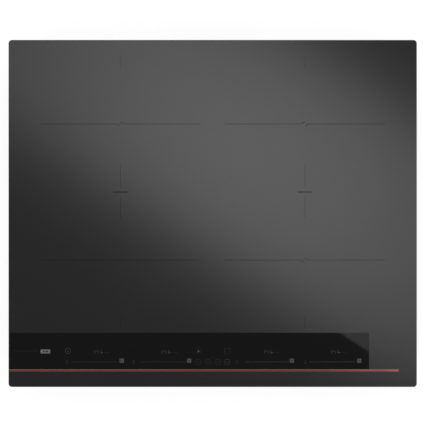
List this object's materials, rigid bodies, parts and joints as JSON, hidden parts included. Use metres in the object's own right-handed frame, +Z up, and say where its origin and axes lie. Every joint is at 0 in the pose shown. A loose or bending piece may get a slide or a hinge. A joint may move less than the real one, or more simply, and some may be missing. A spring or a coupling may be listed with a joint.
{
  "type": "induction hob",
  "caption": "Flat rectangular glass-topped induction hob on a shallow sheet-metal casing that drops into a worktop cut-out.",
  "frame": {"origin": "centre of the footprint, on the casing's underside", "axes": "+X to the cook's right, +Y to the rear, +Z up"},
  "size_m": [0.6, 0.51, 0.0571],
  "materials": {
    "printed_glass": "satin grey print on black glass-ceramic, glossy control window",
    "copper_trim": "brushed rose copper",
    "seal_foam": "closed-cell foam",
    "bonding_silicone": "matte",
    "galvanised_steel": "zinc spangle",
    "zinc_screws": "zinc plated",
    "spring_steel": "satin",
    "former_plastic": "moulded, glass filled",
    "copper_litz": "varnished litz wire",
    "ferrite": "sintered, matte",
    "white_plastic": "moulded",
    "aluminium_sheet": "rolled",
    "mica": "pressed mica board",
    "circuit_board": "green solder mask",
    "black_plastic": "fine moulded grain",
    "aluminium_extrusion": "extruded",
    "component_black": "epoxy",
    "capacitor_red": "cast resin",
    "choke_green": "varnished",
    "rotor_plastic": "moulded",
    "motor_steel": "laminated",
    "pad_foam": "conductive foam",
    "wire_silicone": "silicone insulation"
  },
  "bodies": {
    "casing": {"base_tray": "galvanised_steel", "board_carrier_left": "black_plastic", "board_carrier_right": "black_plastic", "board_screws": "zinc_screws", "cable_clamp": "white_plastic", "casing_screws": "zinc_screws", "chokes": "choke_green", "clip_feet": "spring_steel", "clip_screws": "zinc_screws", "coil_former_left_front": "former_plastic", "coil_former_left_rear": "former_plastic", "coil_former_right_front": "former_plastic", "coil_former_right_rear": "former_plastic", "coil_plate_left": "aluminium_sheet", "coil_plate_right": "aluminium_sheet", "coil_winding_left_front": "copper_litz", "coil_winding_left_rear": "copper_litz", "coil_winding_right_front": "copper_litz", "coil_winding_right_rear": "copper_litz", "display_modules": "component_black", "fan_cover_left": "black_plastic", "fan_cover_right": "black_plastic", "fan_housing_left": "black_plastic", "fan_housing_right": "black_plastic", "fan_motors": "motor_steel", "ferrite_bars": "ferrite", "film_capacitors": "capacitor_red", "filter_board": "circuit_board", "filter_carrier": "black_plastic", "glass_adhesive": "bonding_silicone", "glass_frame": "galvanised_steel", "glass_plate": "printed_glass", "heat_sink_left": "aluminium_extrusion", "heat_sink_right": "aluminium_extrusion", "mica_sheet_left": "mica", "mica_sheet_right": "mica", "plate_pillars": "white_plastic", "plate_screws": "zinc_screws", "plate_springs": "spring_steel", "power_board_left": "circuit_board", "power_board_right": "circuit_board", "power_transistors": "component_black", "relays": "white_plastic", "temperature_sensors": "white_plastic", "terminal_block": "white_plastic", "terminal_box": "black_plastic", "terminal_screws": "zinc_screws", "touch_board": "circuit_board", "touch_holder": "black_plastic", "touch_pads": "pad_foam", "trim_strip": "copper_trim", "wiring_loom": "wire_silicone", "worktop_seal": "seal_foam"},
    "fan_rotor_left": {"fan_rotor_left": "rotor_plastic"},
    "fan_rotor_right": {"fan_rotor_right": "rotor_plastic"},
    "clip_leaf_left_front": {"clip_leaf_left_front": "spring_steel"},
    "clip_leaf_left_rear": {"clip_leaf_left_rear": "spring_steel"},
    "clip_leaf_right_front": {"clip_leaf_right_front": "spring_steel"},
    "clip_leaf_right_rear": {"clip_leaf_right_rear": "spring_steel"},
    "terminal_cover": {"terminal_cover": "black_plastic"}
  },
  "joints": [
    {"name": "fan_spin_left", "type": "hinge", "parent": "casing", "child": "fan_rotor_left", "pos_m": [-0.186, 0.1762, 0.02], "axis": [0, 0, 1], "continuous": true},
    {"name": "fan_spin_right", "type": "hinge", "parent": "casing", "child": "fan_rotor_right", "pos_m": [0.186, 0.1762, 0.02], "axis": [0, 0, 1], "continuous": true},
    {"name": "clip_press_left_front", "type": "hinge", "parent": "casing", "child": "clip_leaf_left_front", "pos_m": [-0.2775, -0.14, 0.0136], "axis": [0, 1, 0], "range_deg": [0, 7.5], "stiffness_Nm_per_rad": 2},
    {"name": "clip_press_left_rear", "type": "hinge", "parent": "casing", "child": "clip_leaf_left_rear", "pos_m": [-0.2775, 0.14, 0.0136], "axis": [0, 1, 0], "range_deg": [0, 7.5], "stiffness_Nm_per_rad": 2},
    {"name": "clip_press_right_front", "type": "hinge", "parent": "casing", "child": "clip_leaf_right_front", "pos_m": [0.2775, -0.14, 0.0136], "axis": [0, -1, 0], "range_deg": [0, 7.5], "stiffness_Nm_per_rad": 2},
    {"name": "clip_press_right_rear", "type": "hinge", "parent": "casing", "child": "clip_leaf_right_rear", "pos_m": [0.2775, 0.14, 0.0136], "axis": [0, -1, 0], "range_deg": [0, 7.5], "stiffness_Nm_per_rad": 2},
    {"name": "terminal_cover_swing", "type": "hinge", "parent": "casing", "child": "terminal_cover", "pos_m": [-0.015, 0.239, 0.0064], "axis": [-1, 0, 0], "range_deg": [0, 90]}
  ]
}
